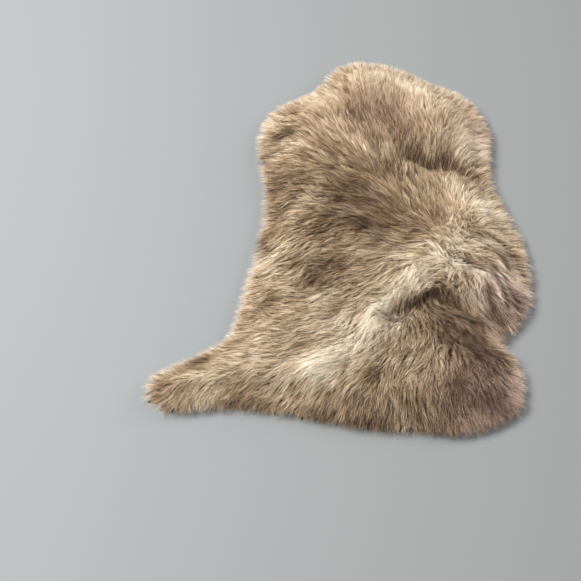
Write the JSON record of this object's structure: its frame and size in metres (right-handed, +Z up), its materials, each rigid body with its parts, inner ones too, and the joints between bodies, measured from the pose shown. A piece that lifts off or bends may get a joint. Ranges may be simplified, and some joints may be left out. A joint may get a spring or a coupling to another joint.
{
  "type": "sheepskin rug",
  "caption": "Single long-wool sheepskin rug laid out flat: an irregular hide with leg lobes under a deep, tufted fleece.",
  "frame": {"origin": "middle of the rug's outline, on the plane of its underside", "axes": "+Y from the rump to the neck, along the rug's length; +Z up through the wool, along its smallest size; +X to the right with the neck pointing away"},
  "size_m": [0.7284, 0.9448, 0.0897],
  "materials": {
    "suede": "undyed suede, the flesh side of the pelt, matt and slightly napped",
    "wool": "long silky wool in taupe, paler at the tips and darker at the roots"
  },
  "bodies": {
    "root": {"hide": "suede", "fleece": "wool"}
  },
  "joints": []
}
